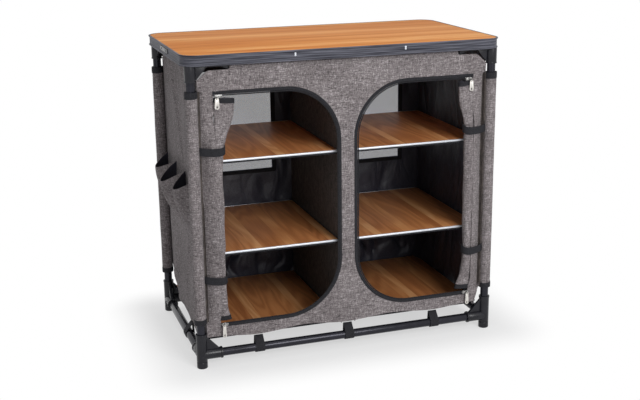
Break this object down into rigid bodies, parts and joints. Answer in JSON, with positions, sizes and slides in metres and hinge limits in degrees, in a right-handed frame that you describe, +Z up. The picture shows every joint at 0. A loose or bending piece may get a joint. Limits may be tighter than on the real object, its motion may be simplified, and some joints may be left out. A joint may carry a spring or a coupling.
{
  "type": "folding camp kitchen cupboard",
  "caption": "Folding camp kitchen cupboard: rimmed worktop on tube legs joined by base tubes, with a hung fabric cupboard, rolled zip doors, loose shelf boards and side pockets.",
  "frame": {"origin": "on the floor, midway between the four feet", "axes": "+X to the user's right along the worktop, +Y from the open front to the back, +Z up"},
  "size_m": [0.85, 0.48, 0.81],
  "materials": {
    "worktop_wood": "wood-look laminate, satin",
    "shelf_wood": "wood-look laminate, satin, aluminium edge",
    "rim_metal": "dark anodised aluminium, satin",
    "tube_metal": "dark coated aluminium, satin",
    "black_plastic": "moulded, fine grain",
    "grey_cloth": "melange weave, coated inside",
    "dark_cloth": "black woven lining",
    "window_mesh": "fine mesh",
    "webbing": "ribbed webbing",
    "zip_metal": "nickel plated"
  },
  "bodies": {
    "cupboard": {"leg_front_left": "tube_metal", "leg_front_right": "tube_metal", "leg_back_left": "tube_metal", "leg_back_right": "tube_metal", "base_connector_front_left": "black_plastic", "base_connector_front_right": "black_plastic", "base_connector_back_left": "black_plastic", "base_connector_back_right": "black_plastic", "foot_front_left": "black_plastic", "foot_front_right": "black_plastic", "foot_back_left": "black_plastic", "foot_back_right": "black_plastic", "base_tube_front": "tube_metal", "base_tube_back": "tube_metal", "base_tube_left": "tube_metal", "base_tube_right": "tube_metal", "base_strap_front_left": "webbing", "base_strap_front_middle": "webbing", "base_strap_front_right": "webbing", "base_strap_back_left": "webbing", "base_strap_back_middle": "webbing", "base_strap_back_right": "webbing", "base_strap_left": "webbing", "base_strap_right": "webbing", "front_panel": "grey_cloth", "back_panel": "grey_cloth", "side_panel_left": "grey_cloth", "side_panel_right": "grey_cloth", "side_pockets": "grey_cloth", "divider": "dark_cloth", "floor_panel": "dark_cloth", "mesh_window_left": "window_mesh", "mesh_window_right": "window_mesh", "rolled_door_left": "grey_cloth", "rolled_door_right": "grey_cloth", "door_tie_upper_left": "webbing", "door_tie_upper_right": "webbing", "door_tie_lower_left": "webbing", "door_tie_lower_right": "webbing"},
    "worktop": {"worktop_board": "worktop_wood", "worktop_rim": "rim_metal", "top_bracket_front_left": "black_plastic", "top_bracket_front_right": "black_plastic", "top_bracket_back_left": "black_plastic", "top_bracket_back_right": "black_plastic"},
    "upper_shelf_left": {"shelf_upper_left": "shelf_wood"},
    "upper_shelf_right": {"shelf_upper_right": "shelf_wood"},
    "middle_shelf_left": {"shelf_middle_left": "shelf_wood"},
    "middle_shelf_right": {"shelf_middle_right": "shelf_wood"},
    "lower_shelf_left": {"shelf_lower_left": "shelf_wood"},
    "lower_shelf_right": {"shelf_lower_right": "shelf_wood"},
    "top_slider_left": {"zip_slider_top_left": "zip_metal"},
    "top_slider_right": {"zip_slider_top_right": "zip_metal"},
    "bottom_slider_left": {"zip_slider_bottom_left": "zip_metal"},
    "bottom_slider_right": {"zip_slider_bottom_right": "zip_metal"},
    "top_puller_left": {"zip_puller_top_left": "zip_metal"},
    "top_puller_right": {"zip_puller_top_right": "zip_metal"},
    "bottom_puller_left": {"zip_puller_bottom_left": "zip_metal"},
    "bottom_puller_right": {"zip_puller_bottom_right": "zip_metal"}
  },
  "joints": [
    {"name": "worktop_lift", "type": "slide", "parent": "cupboard", "child": "worktop", "axis": [0, 0, 1], "range_m": [0, 0.1]},
    {"name": "upper_shelf_left_lift", "type": "slide", "parent": "cupboard", "child": "upper_shelf_left", "axis": [0, 0, 1], "range_m": [0, 0.2]},
    {"name": "upper_shelf_right_lift", "type": "slide", "parent": "cupboard", "child": "upper_shelf_right", "axis": [0, 0, 1], "range_m": [0, 0.2]},
    {"name": "middle_shelf_left_lift", "type": "slide", "parent": "cupboard", "child": "middle_shelf_left", "axis": [0, 0, 1], "range_m": [0, 0.2]},
    {"name": "middle_shelf_right_lift", "type": "slide", "parent": "cupboard", "child": "middle_shelf_right", "axis": [0, 0, 1], "range_m": [0, 0.2]},
    {"name": "lower_shelf_left_lift", "type": "slide", "parent": "cupboard", "child": "lower_shelf_left", "axis": [0, 0, 1], "range_m": [0, 0.2]},
    {"name": "lower_shelf_right_lift", "type": "slide", "parent": "cupboard", "child": "lower_shelf_right", "axis": [0, 0, 1], "range_m": [0, 0.2]},
    {"name": "top_zip_left_slide", "type": "slide", "parent": "cupboard", "child": "top_slider_left", "axis": [1, 0, 0], "range_m": [0, 0.15]},
    {"name": "top_zip_right_slide", "type": "slide", "parent": "cupboard", "child": "top_slider_right", "axis": [-1, 0, 0], "range_m": [0, 0.15]},
    {"name": "bottom_zip_left_slide", "type": "slide", "parent": "cupboard", "child": "bottom_slider_left", "axis": [1, 0, 0], "range_m": [0, 0.14]},
    {"name": "bottom_zip_right_slide", "type": "slide", "parent": "cupboard", "child": "bottom_slider_right", "axis": [-1, 0, 0], "range_m": [0, 0.14]},
    {"name": "top_puller_left_swing", "type": "hinge", "parent": "top_slider_left", "child": "top_puller_left", "pos_m": [-0.3407, -0.229, 0.7035], "axis": [-1, 0, 0], "range_deg": [0, 150]},
    {"name": "top_puller_right_swing", "type": "hinge", "parent": "top_slider_right", "child": "top_puller_right", "pos_m": [0.3407, -0.229, 0.7035], "axis": [-1, 0, 0], "range_deg": [0, 150]},
    {"name": "bottom_puller_left_swing", "type": "hinge", "parent": "bottom_slider_left", "child": "bottom_puller_left", "pos_m": [-0.3427, -0.229, 0.114], "axis": [-1, 0, 0], "range_deg": [0, 150]},
    {"name": "bottom_puller_right_swing", "type": "hinge", "parent": "bottom_slider_right", "child": "bottom_puller_right", "pos_m": [0.3427, -0.229, 0.114], "axis": [-1, 0, 0], "range_deg": [0, 150]}
  ]
}
